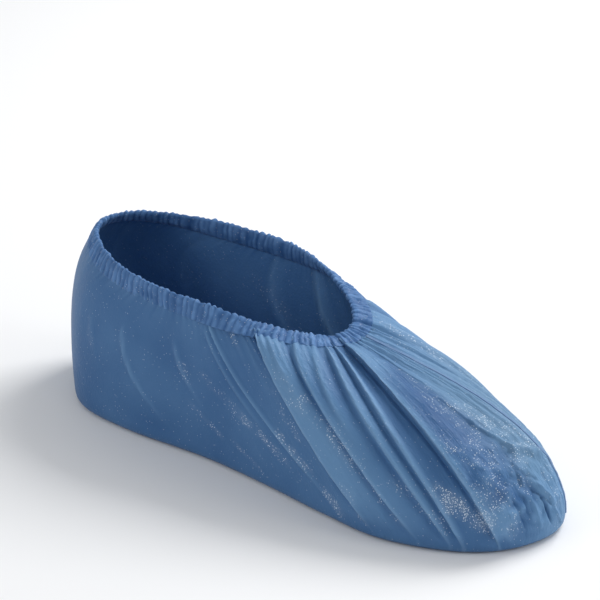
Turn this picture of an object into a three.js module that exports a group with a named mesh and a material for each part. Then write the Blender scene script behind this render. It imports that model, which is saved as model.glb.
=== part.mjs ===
// Disposable film shoe cover, standing open in its worn form. Millimetres, +Z up.
// +X points to the toe and -Y to the outer side. The sole lies on z = 0.
import * as THREE from "three";

// Driving sizes
const LENGTH = 314;             // heel to toe along the edge of the sole
const WIDTH = 104;              // sole at its widest
const SIDE_HEIGHT = 84;         // opening above the floor, at its sides
const FRONT_HEIGHT = 73;        // opening above the floor, at its front end
const BACK_HEIGHT = 90;         // opening above the floor, at its back end
const OPENING_LENGTH = 168;     // opening, back to front
const OPENING_WIDTH = 87;       // opening, side to side
const OPENING_MIDDLE = -50;     // middle of the opening, behind the middle of the cover
const OPENING_ASIDE = 1.5;      // middle of the opening, off the centre line
const FILM = 1.5;               // film drawn as a thin wall; the real film is far thinner
const SOLE_ROUND = 5;           // radius where the side turns into the sole
const HEEL_SWELL = 10;          // how far the heel bulges past the edge of the sole
const SLACK = 0.45;             // how slack the film hangs below the hem, as a share
const BOW = 0.6;                // stations that the folds bow towards the heel, halfway down
const FOLD_HEIGHT = 3.6;        // the tallest fold's ridge, if its share is 1
const DENT_DEPTH = 4;           // the deepest crumple in the toe, if its share is 1

const HEM_DEPTH = 6;            // hem below the cut edge of the film
const HEM_WALL = 1;             // thinnest wall of the hem
const RUFFLE = 1.3;             // how far a ruffle stands out of the hem
const SCALLOP = 1.2;            // how far a ruffle stands up out of the hem
const ELASTIC_HEIGHT = 2.4;
const ELASTIC_THICK = 1;
const WELD_WIDTH = 1.2;
const WELD_HEIGHT = 1.6;
const CLEARANCE = 0.3;          // air between neighbouring pieces

// Twenty stations round the cover: toe first, then the outer side, the heel, the inner side.
// turn: degrees round the opening; along: share of half the length; side: share of half the
// width; shoulder: share of the side height; swell: share of the heel swell.
const STATIONS = [
  { turn: 0, along: 1.0, side: 0.14, shoulder: 0.54, swell: 0 },
  { turn: 8, along: 0.95, side: -0.34, shoulder: 0.54, swell: 0 },
  { turn: 23, along: 0.82, side: -0.71, shoulder: 0.52, swell: 0 },
  { turn: 51, along: 0.6, side: -0.96, shoulder: 0.5, swell: 0 },
  { turn: 66, along: 0.37, side: -0.95, shoulder: 0.48, swell: 0 },
  { turn: 79, along: 0.11, side: -0.88, shoulder: 0.47, swell: 0 },
  { turn: 93, along: -0.16, side: -0.85, shoulder: 0.48, swell: 0 },
  { turn: 111, along: -0.48, side: -0.92, shoulder: 0.56, swell: 0.1 },
  { turn: 133, along: -0.72, side: -0.84, shoulder: 0.62, swell: 0.2 },
  { turn: 158, along: -0.87, side: -0.46, shoulder: 0.66, swell: 0.5 },
  { turn: 180, along: -0.96, side: -0.03, shoulder: 0.72, swell: 0.9 },
  { turn: 202, along: -0.93, side: 0.4, shoulder: 0.7, swell: 0.8 },
  { turn: 227, along: -0.77, side: 0.68, shoulder: 0.65, swell: 0.5 },
  { turn: 249, along: -0.45, side: 0.75, shoulder: 0.56, swell: 0.1 },
  { turn: 268, along: -0.15, side: 0.76, shoulder: 0.49, swell: 0 },
  { turn: 284, along: 0.13, side: 0.83, shoulder: 0.47, swell: 0 },
  { turn: 298, along: 0.41, side: 0.93, shoulder: 0.46, swell: 0 },
  { turn: 315, along: 0.64, side: 0.95, shoulder: 0.47, swell: 0 },
  { turn: 336, along: 0.82, side: 0.8, shoulder: 0.51, swell: 0 },
  { turn: 351, along: 0.96, side: 0.5, shoulder: 0.56, swell: 0 },
];

// Folds that fan from the hem down to the sole: station of the ridge, ridge height as a share
// of FOLD_HEIGHT, stations that its slow and its steep flank take, where it starts and ends as
// shares of the way from hem to sole.
const FOLDS = [
  { at: 0.5, height: 0.2, slow: 0.2, steep: 0.08, from: 0, to: 0.5 },
  { at: 1.23, height: 0.95, slow: 0.6, steep: 0.12, from: 0, to: 1 },
  { at: 1.71, height: 0.62, slow: 0.22, steep: 0.08, from: 0, to: 0.96 },
  { at: 1.94, height: 0.6, slow: 0.2, steep: 0.08, from: 0, to: 0.98 },
  { at: 2.28, height: 0.35, slow: 0.22, steep: 0.08, from: 0, to: 0.6 },
  { at: 2.46, height: 0.5, slow: 0.34, steep: 0.08, from: 0, to: 0.98 },
  { at: 2.85, height: 0.3, slow: 0.22, steep: 0.08, from: 0, to: 0.6 },
  { at: 3.15, height: 0.9, slow: 0.6, steep: 0.1, from: 0, to: 0.99 },
  { at: 3.6, height: 0.2, slow: 0.2, steep: 0.1, from: 0, to: 0.6 },
  { at: 4.25, height: 0.35, slow: 0.2, steep: 0.12, from: 0, to: 0.95 },
  { at: 5.5, height: 0.18, slow: 0.2, steep: 0.12, from: 0.1, to: 0.8 },
  { at: 6.5, height: 0.18, slow: 0.2, steep: 0.12, from: 0.2, to: 0.95 },
  { at: 7.4, height: 0.12, slow: 0.2, steep: 0.12, from: 0.2, to: 0.8 },
  { at: 8.9, height: 0.1, slow: 0.25, steep: 0.12, from: 0.1, to: 0.7 },
  { at: 11.2, height: 0.1, slow: 0.25, steep: 0.12, from: 0.1, to: 0.7 },
  { at: 12.7, height: 0.15, slow: 0.25, steep: 0.12, from: 0.05, to: 0.8 },
  { at: 14.2, height: 0.25, slow: 0.3, steep: 0.12, from: 0, to: 0.85 },
  { at: 15.2, height: 0.42, slow: 0.3, steep: 0.1, from: 0, to: 0.85 },
  { at: 15.9, height: 0.5, slow: 0.3, steep: 0.1, from: 0, to: 0.9 },
  { at: 16.45, height: 0.5, slow: 0.24, steep: 0.1, from: 0, to: 0.9 },
  { at: 17, height: 0.5, slow: 0.22, steep: 0.09, from: 0, to: 0.9 },
  { at: 17.5, height: 0.45, slow: 0.2, steep: 0.09, from: 0, to: 0.9 },
  { at: 18.08, height: 0.65, slow: 0.22, steep: 0.1, from: 0, to: 0.7 },
  { at: 18.65, height: 0.28, slow: 0.16, steep: 0.08, from: 0, to: 0.5 },
  { at: 19.7, height: 0.2, slow: 0.14, steep: 0.08, from: 0, to: 0.5 },
];

// Short crumples pushed into the toe: station, share of the way from hem to sole, reach in
// stations and in that share, depth as a share of DENT_DEPTH.
const DENTS = [
  { at: 0.3, down: 0.85, reach: 0.22, tall: 0.16, depth: 0.8 },
  { at: 0.05, down: 0.68, reach: 0.3, tall: 0.12, depth: 0.45 },
  { at: 0.85, down: 0.92, reach: 0.3, tall: 0.12, depth: 0.4 },
  { at: 19.7, down: 0.82, reach: 0.25, tall: 0.14, depth: 0.55 },
  { at: 18.6, down: 0.86, reach: 0.3, tall: 0.14, depth: 0.5 },
];

const RUFFLE_STEPS = [0, 1, 0.25, 0.8, 0.1, 0.9, 0.35, 0.7];
const WIDEST_COLUMN = 0.24;     // stations between two columns of the mesh at most
const ROWS = 10;                // rows of the mesh between the hem and the sole
const WELD_STRIP = 0.1;         // stations kept smooth on both sides of a weld
const SEAM_STATIONS = { toe: 19.2, heel: 10 };

const COUNT = STATIONS.length;
const wrap = (station) => ((station % COUNT) + COUNT) % COUNT;
const smooth = (low, high, x) => THREE.MathUtils.smoothstep(x, low, high);

// Smooth closed curve through the stations' values.
function between(column, station) {
  const i = Math.floor(station);
  const f = station - i;
  const value = (k) => {
    const laps = Math.floor(k / COUNT);
    return STATIONS[k - laps * COUNT][column] + (column === "turn" ? 360 * laps : 0);
  };
  const [a, b, c, d] = [value(i - 1), value(i), value(i + 1), value(i + 2)];
  return b + 0.5 * f * (c - a + f * (2 * a - 5 * b + 4 * c - d + f * (3 * (b - c) + d - a)));
}

// Cut edge of the film, where it stands in the hem.
function rimPoint(station) {
  const turn = THREE.MathUtils.degToRad(between("turn", station));
  const c = Math.cos(turn);
  const end = c > 0 ? FRONT_HEIGHT : BACK_HEIGHT;
  return new THREE.Vector3(
    OPENING_MIDDLE + (OPENING_LENGTH / 2) * c,
    OPENING_ASIDE - (OPENING_WIDTH / 2) * Math.sin(turn),
    SIDE_HEIGHT + (end - SIDE_HEIGHT) * c * c,
  );
}

function edgePoint(station) {
  const x = between("along", station) * (LENGTH / 2);
  return new THREE.Vector3(x, between("side", station) * (WIDTH / 2), SOLE_ROUND);
}

// Level direction pointing out of the sole's edge.
function edgeOut(station) {
  const step = edgePoint(station + 0.02).sub(edgePoint(station - 0.02));
  return new THREE.Vector3(-step.y, step.x, 0).normalize();
}

// One profile of the bag, from its cut edge to the sole.
function profile(station) {
  const rim = rimPoint(station);
  const edge = edgePoint(station);
  const out = edge.clone().sub(rim).setZ(0).normalize();
  const shoulder = edge.clone().addScaledVector(out, between("swell", station) * HEEL_SWELL);
  shoulder.z = between("shoulder", station) * SIDE_HEIGHT;
  const hang = rim.clone().lerp(shoulder, SLACK);
  return new THREE.CubicBezierCurve3(rim, hang, shoulder, edge);
}

function hemShare(curve) {
  return HEM_DEPTH / (3 * curve.v0.distanceTo(curve.v1));
}

// Place on the smooth bag; share 0 is the lower edge of the hem and 1 the edge of the sole.
function place(station, share) {
  const bow = BOW * Math.sin((2 * Math.PI * station) / COUNT) * 4 * share * (1 - share);
  const curve = profile(station + bow);
  const hem = hemShare(curve);
  return curve.getPoint(hem + (1 - hem) * share);
}

function outward(station, share) {
  const s = Math.min(Math.max(share, 0.01), 0.99);
  const round = place(station + 0.03, s).sub(place(station - 0.03, s));
  const down = place(station, s + 0.01).sub(place(station, s - 0.01));
  return round.cross(down).normalize();
}

// Straight strip of film inside the hem: cut edge, way down, way out.
function rimFrame(station) {
  const top = profile(station).getPoint(0);
  const down = place(station, 0).sub(top);
  const depth = down.length();
  down.normalize();
  const round = rimPoint(station + 0.03).sub(rimPoint(station - 0.03));
  const out = round.cross(down).normalize();
  return { top, down, out, depth };
}

// The slow flank of a fold faces the toe: down the table on one side, up it on the other.
const toeward = (fold) => (fold.at < COUNT / 2 ? -1 : 1);

// Height of the folds and crumples above the smooth bag.
function relief(station, share) {
  const apart = (a) => wrap(station - a + COUNT / 2) - COUNT / 2;
  let height = 0;
  for (const fold of FOLDS) {
    const x = toeward(fold) * apart(fold.at);
    const begun = smooth(fold.from, fold.from + 0.1, share);
    const along = begun * (1 - smooth(fold.to - 0.35, fold.to, share));
    let across = 0;
    if (x >= 0 && x < fold.slow) across = 1 - x / fold.slow;
    else if (x < 0 && x > -fold.steep) across = 1 + (1.4 * x) / fold.steep;
    else if (x <= -fold.steep && x > -2.2 * fold.steep) across = -0.4 * (2.2 + x / fold.steep) / 1.2;
    height += FOLD_HEIGHT * fold.height * across * along;
  }
  for (const dent of DENTS) {
    const x = apart(dent.at) / dent.reach;
    const y = (share - dent.down) / dent.tall;
    const gone = Math.max(0, 1 - x * x - y * y);
    height -= DENT_DEPTH * dent.depth * gone * gone;
  }
  const { toe, heel } = SEAM_STATIONS;
  const weld = Math.min(Math.abs(apart(toe)), Math.abs(apart(heel)));
  return height * smooth(WELD_STRIP, 2.5 * WELD_STRIP, weld);
}

// Columns of the mesh stand on the folds' ridges and feet, with plain ones between.
function columnStations() {
  const wanted = [];
  for (const seam of Object.values(SEAM_STATIONS)) {
    wanted.push(seam - WELD_STRIP, seam, seam + WELD_STRIP);
  }
  for (const fold of FOLDS) {
    for (const step of [fold.slow, 0, -fold.steep, -2.2 * fold.steep]) {
      wanted.push(fold.at + toeward(fold) * step);
    }
  }
  const sorted = wanted.map(wrap).sort((a, b) => a - b);
  const kept = [];
  for (const station of sorted) {
    if (!kept.length || station - kept[kept.length - 1] > 0.045) kept.push(station);
  }
  const filled = [];
  kept.forEach((station, i) => {
    const next = i + 1 < kept.length ? kept[i + 1] : COUNT + kept[0];
    const pieces = Math.ceil((next - station) / WIDEST_COLUMN);
    for (let k = 0; k < pieces; k++) filled.push(station + ((next - station) * k) / pieces);
  });
  return filled;
}

const COLUMNS = columnStations();
const FRAMES = COLUMNS.map(rimFrame);

// Closed body from rings of points; every ring runs the same way round.
class Body {
  constructor() {
    this.points = [];
    this.faces = [];
  }
  ring(points) {
    const first = this.points.length;
    this.points.push(...points);
    return points.map((_, i) => first + i);
  }
  band(a, b) {
    a.forEach((_, i) => {
      const j = (i + 1) % a.length;
      this.faces.push([a[i], b[j], b[i]], [a[i], a[j], b[j]]);
    });
  }
  cap(ring, up) {
    const flat = ring.map((i) => new THREE.Vector2(this.points[i].x, this.points[i].y));
    for (const [a, b, c] of THREE.ShapeUtils.triangulateShape(flat, [])) {
      const [p, q, r] = [flat[a], flat[b], flat[c]];
      const left = (q.x - p.x) * (r.y - p.y) - (q.y - p.y) * (r.x - p.x) > 0;
      this.faces.push(left === up ? [ring[a], ring[b], ring[c]] : [ring[a], ring[c], ring[b]]);
    }
  }
  mesh(name, colour, roughness) {
    const geometry = new THREE.BufferGeometry();
    const flat = this.points.flatMap((p) => [p.x, p.y, p.z]);
    geometry.setAttribute("position", new THREE.Float32BufferAttribute(flat, 3));
    geometry.setIndex(this.faces.flat());
    geometry.computeVertexNormals();
    const mesh = new THREE.Mesh(geometry, new THREE.MeshStandardMaterial({ color: colour, roughness }));
    mesh.name = name;
    return mesh;
  }
}

// Rings of one face of the film; inset 0 is the outside, FILM the inside.
function filmRings(body, inset) {
  const rings = [body.ring(FRAMES.map((f) => f.top.clone().addScaledVector(f.out, -inset)))];
  for (let row = 0; row <= ROWS; row++) {
    const share = row / ROWS;
    rings.push(body.ring(COLUMNS.map((station, i) => {
      const out = row === 0 ? FRAMES[i].out : outward(station, share);
      return place(station, share).addScaledVector(out, relief(station, share) - inset);
    })));
  }
  for (const turn of [Math.PI / 4, Math.PI / 2]) {
    rings.push(body.ring(COLUMNS.map((station) => {
      const out = edgeOut(station);
      const middle = edgePoint(station).addScaledVector(out, -SOLE_ROUND);
      const reach = SOLE_ROUND - inset;
      middle.addScaledVector(out, reach * Math.cos(turn));
      middle.z -= reach * Math.sin(turn);
      return middle;
    })));
  }
  return rings;
}

function filmShell() {
  const body = new Body();
  const outside = filmRings(body, 0);
  const inside = filmRings(body, FILM);
  body.band(inside[0], outside[0]);
  for (let i = 1; i < outside.length; i++) {
    body.band(outside[i - 1], outside[i]);
    body.band(inside[i], inside[i - 1]);
  }
  body.cap(outside[outside.length - 1], false);
  body.cap(inside[inside.length - 1], true);
  return body.mesh("film_shell", 0x4f79ad, 0.4);
}

// Ring of points beside the rim: down is measured from the cut edge, out from the film.
const rimRing = (body, down, out) => body.ring(FRAMES.map((f, i) =>
  f.top.clone().addScaledVector(f.down, down(f, i)).addScaledVector(f.out, out(i))));

function loop(body, rings) {
  rings.forEach((ring, i) => body.band(ring, rings[(i + 1) % rings.length]));
}

const CHAMBER = ELASTIC_HEIGHT + 2 * CLEARANCE;
const ruffle = (i) => RUFFLE_STEPS[i % RUFFLE_STEPS.length];

function hemCasing() {
  const body = new Body();
  const foot = (f) => f.depth - CLEARANCE;
  const cut = () => 0;
  const roof = (f, i) => -CHAMBER - HEM_WALL - SCALLOP * ruffle(i);
  const ceiling = () => -CHAMBER;
  const slotOut = () => CLEARANCE;
  const slotIn = () => -FILM - CLEARANCE;
  const faceOut = (i) => CLEARANCE + HEM_WALL + RUFFLE * ruffle(i + 1);
  const faceIn = (i) => -FILM - CLEARANCE - HEM_WALL - RUFFLE * ruffle(i + 4);
  const crestOut = () => CLEARANCE + 0.6 * HEM_WALL;
  const crestIn = () => -FILM - CLEARANCE - 0.6 * HEM_WALL;
  loop(body, [
    rimRing(body, roof, crestOut),
    rimRing(body, cut, faceOut),
    rimRing(body, foot, faceOut),
    rimRing(body, foot, slotOut),
    rimRing(body, ceiling, slotOut),
    rimRing(body, ceiling, slotIn),
    rimRing(body, foot, slotIn),
    rimRing(body, foot, faceIn),
    rimRing(body, cut, faceIn),
    rimRing(body, roof, crestIn),
  ]);
  return body.mesh("hem_casing", 0x6f97c4, 0.45);
}

function elasticBand() {
  const body = new Body();
  const top = () => -CLEARANCE - ELASTIC_HEIGHT;
  const low = () => -CLEARANCE;
  const outer = () => -(FILM - ELASTIC_THICK) / 2;
  const inner = () => -(FILM + ELASTIC_THICK) / 2;
  loop(body, [
    rimRing(body, top, outer),
    rimRing(body, low, outer),
    rimRing(body, low, inner),
    rimRing(body, top, inner),
  ]);
  return body.mesh("elastic_band", 0xe6e8ea, 0.7);
}

// Raised weld fin along one station, from just under the hem to the edge of the sole.
function weldFin(name, station) {
  const body = new Body();
  const rings = [];
  for (let row = 0; row <= ROWS; row++) {
    const share = row === 0 ? 0.2 / ROWS : row / ROWS;
    const out = outward(station, share);
    const across = place(station + 0.03, share).sub(place(station - 0.03, share)).normalize();
    const corner = (side, up) => place(station, share)
      .addScaledVector(across, (side * WELD_WIDTH) / 2).addScaledVector(out, CLEARANCE + up);
    const crest = [corner(1, WELD_HEIGHT), corner(-1, WELD_HEIGHT)];
    rings.push(body.ring([corner(-1, 0), corner(1, 0), ...crest]));
  }
  for (let row = 1; row < rings.length; row++) body.band(rings[row], rings[row - 1]);
  const [a, b, c, d] = rings[0];
  const [e, f, g, h] = rings[rings.length - 1];
  body.faces.push([a, b, c], [a, c, d], [e, g, f], [e, h, g]);
  return body.mesh(name, 0x86a8d0, 0.35);
}

const cover = new THREE.Group();
cover.name = "shoe_cover";
cover.add(filmShell(), hemCasing(), elasticBand());
cover.add(weldFin("toe_weld", SEAM_STATIONS.toe), weldFin("heel_weld", SEAM_STATIONS.heel));
export default cover;
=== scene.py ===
# %% [markdown]
# # A film shoe cover
# The cover is a bag of thin blue film that a gathered elastic hem pulls in at the top. The packed
# model is loaded first: every piece here is laid over it, in metres, with +X to the toe.

# %% Load the frame
import math
import bmesh
import bpy
import numpy as np
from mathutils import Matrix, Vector, noise


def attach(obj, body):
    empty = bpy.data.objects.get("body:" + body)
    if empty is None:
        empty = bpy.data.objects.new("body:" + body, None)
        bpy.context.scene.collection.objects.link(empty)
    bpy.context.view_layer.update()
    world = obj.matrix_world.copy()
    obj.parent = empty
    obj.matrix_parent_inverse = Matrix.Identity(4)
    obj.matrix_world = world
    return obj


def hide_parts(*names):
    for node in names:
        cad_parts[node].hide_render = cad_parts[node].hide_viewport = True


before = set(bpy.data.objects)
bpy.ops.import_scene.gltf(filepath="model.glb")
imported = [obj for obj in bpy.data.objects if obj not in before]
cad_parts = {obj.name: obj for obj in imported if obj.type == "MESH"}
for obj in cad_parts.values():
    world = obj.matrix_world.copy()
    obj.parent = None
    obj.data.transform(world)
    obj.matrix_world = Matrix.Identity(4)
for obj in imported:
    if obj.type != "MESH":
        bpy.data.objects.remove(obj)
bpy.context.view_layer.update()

# %% [markdown]
# ## Camera
# The photograph looks down on the toe from the outer side with a long lens. The camera is placed
# by its angle round the cover, its height above the floor and its distance.

# %% Camera
IMAGE_WIDTH = 600
FOCAL_PIXELS = 2394
SENSOR_WIDTH = 36
SIGHT = Vector((0.003, 0, 0.0834))
SIGHT_DISTANCE = 1.206
SIGHT_TURN, SIGHT_RISE = math.radians(40.2), math.radians(24.9)

back = Vector((math.sin(SIGHT_TURN) * math.cos(SIGHT_RISE),
               -math.cos(SIGHT_TURN) * math.cos(SIGHT_RISE), math.sin(SIGHT_RISE)))
lens = bpy.data.cameras.new("camera")
lens.sensor_width = SENSOR_WIDTH
lens.lens = FOCAL_PIXELS / IMAGE_WIDTH * lens.sensor_width
lens.clip_start, lens.clip_end = 0.01, 20
camera = bpy.data.objects.new("camera", lens)
camera.location = SIGHT + back * SIGHT_DISTANCE
camera.rotation_euler = (-back).to_track_quat("-Z", "Y").to_euler()
bpy.context.collection.objects.link(camera)
bpy.context.scene.camera = camera
print("lens", round(lens.lens, 1), "mm")

# %% [markdown]
# ## Sizes
# Film has no hard parts to measure, so a few sizes hold the form: the sole's length and width, how
# high the hem lies at the sides, front and back, and the size and place of the opening.

# %% Sizes
MM = 0.001
LENGTH, WIDTH = 314 * MM, 104 * MM
SIDE_HEIGHT, FRONT_HEIGHT, BACK_HEIGHT = 84 * MM, 73 * MM, 90 * MM
OPENING_LENGTH, OPENING_WIDTH = 168 * MM, 87 * MM
OPENING_MIDDLE, OPENING_ASIDE = -50 * MM, 1.5 * MM
SOLE_ROUND, HEEL_SWELL = 5 * MM, 10 * MM
HEM_DEPTH = 6 * MM
SLACK = 0.45                    # how much of the way down to the shoulder the film hangs free
BOW = 0.6                       # most stations that a line of film bends aside, halfway down
TOE_SEAM, HEEL_SEAM = 19.2, 10  # stations of the two welds
print("sole", round(LENGTH / MM), "by", round(WIDTH / MM), "mm")

# %% [markdown]
# ## Stations
# A gathered bag is hard to draw as one surface, but each line of film from the hem down to the
# sole is a plain curve. Twenty stations round the cover give where such a line leaves the opening,
# where it meets the sole and how full the bag is there. A smooth closed curve runs between the
# stations, so any place on the bag is named by its station and its share of the way down.

# %% Stations
# degrees round the opening, place along and aside as shares of half the length and width,
# height of the shoulder as a share of the side's, share of the heel's swell
STATION_NAMES = ("turn", "along", "side", "shoulder", "swell")
STATIONS = np.array([
    (0, 1.0, 0.14, 0.54, 0), (8, 0.95, -0.34, 0.54, 0),
    (23, 0.82, -0.71, 0.52, 0), (51, 0.6, -0.96, 0.5, 0),
    (66, 0.37, -0.95, 0.48, 0), (79, 0.11, -0.88, 0.47, 0),
    (93, -0.16, -0.85, 0.48, 0), (111, -0.48, -0.92, 0.56, 0.1),
    (133, -0.72, -0.84, 0.62, 0.2), (158, -0.87, -0.46, 0.66, 0.5),
    (180, -0.96, -0.03, 0.72, 0.9), (202, -0.93, 0.4, 0.7, 0.8),
    (227, -0.77, 0.68, 0.65, 0.5), (249, -0.45, 0.75, 0.56, 0.1),
    (268, -0.15, 0.76, 0.49, 0), (284, 0.13, 0.83, 0.47, 0),
    (298, 0.41, 0.93, 0.46, 0), (315, 0.64, 0.95, 0.47, 0),
    (336, 0.82, 0.8, 0.51, 0), (351, 0.96, 0.5, 0.56, 0),
])
COUNT = len(STATIONS)


def between(name, station):
    """Smooth closed curve through one column of the table."""
    column = STATIONS[:, STATION_NAMES.index(name)]
    i = np.floor(station).astype(int)
    f = station - i
    lap = 360 if name == "turn" else 0
    a, b, c, d = (column[(i + k) % COUNT] + lap * ((i + k) // COUNT) for k in (-1, 0, 1, 2))
    return b + 0.5 * f * (c - a + f * (2 * a - 5 * b + 4 * c - d + f * (3 * (b - c) + d - a)))


print(COUNT, "stations round the cover")

# %% [markdown]
# ## Edges
# The bag has two edges to hang between. The cut edge of the film lies inside the hem, on an oval
# that rises towards the back. The edge of the sole lies near the floor, and is the wider one.

# %% Edges
NEAR = 0.02     # stations to each side, for a direction along an edge


def stack(x, y, z):
    return np.stack(np.broadcast_arrays(x, y, z), -1)


def unit(v):
    return v / np.maximum(np.linalg.norm(v, axis=-1, keepdims=True), 1e-9)


def rim_point(station):
    """The cut edge of the film, up inside the hem."""
    turn = np.radians(between("turn", station))
    c = np.cos(turn)
    end = np.where(c > 0, FRONT_HEIGHT, BACK_HEIGHT)
    return stack(OPENING_MIDDLE + OPENING_LENGTH / 2 * c,
                 OPENING_ASIDE - OPENING_WIDTH / 2 * np.sin(turn),
                 SIDE_HEIGHT + (end - SIDE_HEIGHT) * c * c)


def edge_point(station):
    return stack(between("along", station) * LENGTH / 2, between("side", station) * WIDTH / 2,
                 SOLE_ROUND)


def edge_out(station):
    """Level direction away from the sole."""
    step = edge_point(station + NEAR) - edge_point(station - NEAR)
    return unit(stack(-step[..., 1], step[..., 0], 0))


ring = np.linspace(0, COUNT, 2001)
rim_steps = np.linalg.norm(np.diff(rim_point(ring), axis=0), axis=1)
RIM_RUN = np.concatenate([[0], np.cumsum(rim_steps)])


def rim_run(station):
    """Metres along the opening's edge to a station."""
    return np.interp(station % COUNT, ring, RIM_RUN)


print("the opening's edge measures", round(RIM_RUN[-1] * 1000), "mm round")

# %% [markdown]
# ## The smooth bag
# Between the two edges a line of film is a curve with two handles, like a pen tool's: one where
# it hangs free below the hem, and one at the shoulder, where it turns down to the sole.

# %% Smooth bag


def place(station, share):
    """A point of the smooth bag: share 0 at the hem's lower edge, 1 at the edge of the sole."""
    station, share = np.broadcast_arrays(np.asarray(station, float), np.asarray(share, float))
    at = station + BOW * np.sin(2 * np.pi * station / COUNT) * 4 * share * (1 - share)
    rim, edge = rim_point(at), edge_point(at)
    out = unit((edge - rim) * (1, 1, 0))
    shoulder = edge + out * (between("swell", at) * HEEL_SWELL)[..., None]
    shoulder[..., 2] = between("shoulder", at) * SIDE_HEIGHT
    hang = rim + (shoulder - rim) * SLACK
    hem = HEM_DEPTH / (3 * np.linalg.norm(hang - rim, axis=-1))
    t = (hem + (1 - hem) * share)[..., None]
    s = 1 - t
    return s**3 * rim + 3 * s * s * t * hang + 3 * s * t * t * shoulder + t**3 * edge


def facing(station, share):
    """Outward direction of the smooth bag, and the direction round it."""
    share = np.clip(share, 0.01, 0.99)
    round_it = place(station + 0.03, share) - place(station - 0.03, share)
    down = place(station, share + 0.01) - place(station, share - 0.01)
    return unit(np.cross(round_it, down)), unit(round_it)


halfway = place(ring, 0.5)
print("halfway down the bag is", round(np.ptp(halfway[:, 0]) / MM), "mm long")

# %% [markdown]
# ## Fold table
# The elastic gathers far more film than the opening needs, so it lies over the front in long
# folds like a fan. They could come from a cloth simulation, but then they would fall where they
# liked. Here a table puts each one where it lies on the real cover.

# %% Fold table
FOLD_HEIGHT = 3.4 * MM
# station of the ridge at the hem, at the sole, share of the fold height, slow flank towards
# the toe, steep flank towards the heel, start, end; a negative share is a valley
FOLDS = [
    (0.1, 0.1, 0.1, 0.16, 0.06, 0, 0.45), (0.5, 0.5, 0.12, 0.2, 0.05, 0, 0.5),
    (0.85, 0.82, 0.1, 0.2, 0.05, 0, 0.5), (1.2, 1.2, 1.1, 0.8, 0.07, 0, 1.15),
    (1.46, 1.5, -0.2, 0.16, 0.16, 0.02, 1.1), (1.7, 1.82, 0.6, 0.1, 0.06, 0, 1.2),
    (1.98, 2.02, 0.55, 0.16, 0.06, 0, 1.15), (2.27, 2.36, 0.3, 0.16, 0.06, 0, 0.6),
    (2.54, 2.46, 0.6, 0.36, 0.07, 0, 1.1), (2.9, 2.8, 0.25, 0.16, 0.07, 0, 0.55),
    (3.16, 3.1, 1.05, 0.6, 0.07, 0, 1.05), (3.62, 3.5, 0.1, 0.2, 0.08, 0, 0.5),
    (4.66, 3.62, 0.34, 0.1, 0.08, 0, 1), (4.86, 3.9, 0.18, 0.1, 0.08, 0.1, 0.8),
    (5.65, 5.2, 0.2, 0.08, 0.06, 0.3, 0.8), (6.58, 6.2, 0.24, 0.07, 0.06, 0.36, 1),
    (7.4, 6.9, 0.1, 0.1, 0.08, 0.42, 0.8), (8.9, 8.8, 0.06, 0.2, 0.1, 0.1, 0.7),
    (11.2, 11.3, 0.06, 0.2, 0.1, 0.1, 0.7), (12.6, 12.9, 0.1, 0.2, 0.1, 0.05, 0.8),
    (14, 14.6, 0.2, 0.3, 0.1, 0, 0.85), (15, 15.4, 0.4, 0.3, 0.08, 0, 0.85),
    (15.8, 16, 0.5, 0.3, 0.08, 0, 0.9), (16.4, 16.5, 0.5, 0.24, 0.08, 0, 0.9),
    (17, 17, 0.5, 0.22, 0.07, 0, 0.9), (17.5, 17.5, 0.45, 0.2, 0.07, 0, 0.9),
    (18.1, 18.05, 0.75, 0.22, 0.08, 0, 0.7), (18.7, 18.6, 0.26, 0.16, 0.06, 0, 0.5),
    (19.52, 19.48, 0.3, 0.35, 0.2, 0.02, 0.75),
]
print(len(FOLDS), "folds, the tallest", round(max(f[2] for f in FOLDS) * FOLD_HEIGHT / MM, 1), "mm")

# %% [markdown]
# ## The shape of a fold
# Film doesn't fold evenly: each fold has a slow flank and a steep flank that leans over, which is
# what makes the dark line beside each light one. A round wave would look like cloth. So the rise
# is worked out across the fold, it fades in and out along it, and the ridge is pushed aside.

# %% Folds
FOLD_LEAN = 0.6                 # how far a ridge leans over its steep flank, per metre of height
FOLD_BOW = 0.12                 # stations that a fold bends away from the toe, halfway down
FADE_START, FADE_END = (0.06, 0.08), 0.35   # shares over which a fold rises and dies away
VALLEY = 0.3                    # depth beside the steep flank, as a share of the fold's height
CREST_WIDTH = 0.035             # stations


def smooth(low, high, x):
    """Eases from 0 at low to 1 at high, which may lie the other way round."""
    x = np.clip((x - low) / (high - low), 0, 1)
    return x * x * (3 - 2 * x)


def apart(station, at):
    """Stations from one place to another, the short way round."""
    return (station - at + COUNT / 2) % COUNT - COUNT / 2


def folds(station, share):
    """Height of the long folds, how far they lean towards higher stations, and their crests."""
    share = np.clip(share, 0, 1)
    height, lean, crest = (np.zeros_like(station) for _ in range(3))
    for top, bottom, tall, slow, steep, start, end in FOLDS:
        toeward = -1 if top < COUNT / 2 else 1
        at = top + (bottom - top) * share - toeward * FOLD_BOW * 4 * share * (1 - share)
        x = toeward * apart(station, at)
        fade = smooth(start - FADE_START[0], start + FADE_START[1], share)
        fade = fade * (1 - smooth(end - FADE_END, end, share))
        rise = np.where(x >= 0, 1 - np.clip(x / slow, 0, 1) ** 1.5, 1 + (1 + VALLEY) * x / steep)
        beside = -VALLEY * np.clip((2.5 + x / steep) / 1.5, 0, 1)
        across = np.where(x < -steep, beside, rise)
        height += tall * FOLD_HEIGHT * across * fade
        lean -= toeward * tall * FOLD_HEIGHT * np.maximum(across, 0) ** 3 * fade
        crest += max(tall, 0) * np.exp(-((x - 0.01) / CREST_WIDTH) ** 2) * fade
    return height, lean, crest


ridges = folds(ring, np.full_like(ring, 0.3))[0]
print("the folds stand up to", round(ridges.max() / MM, 1), "mm high at 0.3 of the way down")

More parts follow.
